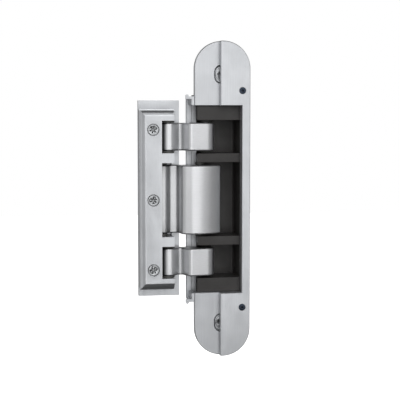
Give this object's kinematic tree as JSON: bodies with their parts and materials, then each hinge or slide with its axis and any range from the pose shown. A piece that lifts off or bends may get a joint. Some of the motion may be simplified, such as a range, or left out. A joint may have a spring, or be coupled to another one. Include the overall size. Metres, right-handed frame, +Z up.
{
  "type": "concealed door hinge",
  "caption": "Concealed hinge opened flat: a rounded frame plate with a raised cover and a dark pocketed housing, joined by crossing arms to a narrow bevelled leaf clamp for a pane.",
  "frame": {"origin": "midway between the two fixing screws, in the plane of the frame plate's back, which seats on the door frame", "axes": "+Y into the door frame along the fixing screws, +Z up along the frame plate and the pins, +X away from the leaf part across the frame plate"},
  "size_m": [0.0557, 0.0455, 0.16],
  "materials": {
    "satin_nickel": "satin, brushed along Z",
    "satin_arm": "satin",
    "black_housing": "black powder coat",
    "bright_screw": "bright plated steel",
    "dark_screw": "blued steel",
    "pin_steel": "ground",
    "bush_polymer": "plain",
    "gasket_rubber": "matt"
  },
  "bodies": {
    "frame_part": {"frame_plate": "satin_nickel", "frame_cover": "satin_nickel", "frame_housing": "black_housing", "side_guard": "satin_nickel", "frame_fixing_screws": "bright_screw", "cover_grub_screws": "dark_screw", "housing_screws": "bright_screw", "frame_pin_bottom": "pin_steel", "frame_pin_centre": "pin_steel", "frame_pin_top": "pin_steel", "frame_thrust_washers": "bush_polymer", "frame_centre_washers": "bush_polymer"},
    "outer_arms": {"outer_arm_bottom": "satin_arm", "outer_arm_top": "satin_arm", "frame_bush_bottom": "bush_polymer", "frame_bush_top": "bush_polymer", "leaf_bush_bottom": "bush_polymer", "leaf_bush_top": "bush_polymer"},
    "centre_arm_body": {"centre_arm": "satin_arm", "centre_arm_frame_bush": "bush_polymer", "centre_arm_leaf_bush": "bush_polymer"},
    "leaf_part": {"leaf_body": "satin_nickel", "leaf_face_plate": "satin_nickel", "face_plate_screws": "bright_screw", "leaf_pin_bottom": "pin_steel", "leaf_pin_centre": "pin_steel", "leaf_pin_top": "pin_steel", "leaf_thrust_washers": "bush_polymer", "leaf_centre_washers": "bush_polymer", "clamp_plate": "satin_nickel", "clamp_screws": "bright_screw", "pane_sleeves": "bush_polymer", "gasket_fixed_jaw": "gasket_rubber", "gasket_clamp_plate": "gasket_rubber"}
  },
  "joints": [
    {"name": "outer_arm_swing", "type": "hinge", "parent": "frame_part", "child": "outer_arms", "pos_m": [-0.00651, 0.00768, 0], "axis": [0, 0, 1], "range_deg": [0, 65.56]},
    {"name": "leaf_swing", "type": "hinge", "parent": "outer_arms", "child": "leaf_part", "pos_m": [-0.02676, 0.00236, 0], "axis": [0, 0, 1], "range_deg": [0, 114.46]},
    {"name": "centre_arm_swing", "type": "hinge", "parent": "frame_part", "child": "centre_arm_body", "pos_m": [-0.01029, 0.00355, 0], "axis": [0, 0, 1], "range_deg": [0, 106.28]}
  ],
  "couplings": [
    {"joint": "leaf_swing", "follows": "outer_arm_swing", "ratio": 1.7457},
    {"joint": "centre_arm_swing", "follows": "outer_arm_swing", "ratio": 1.6209}
  ]
}
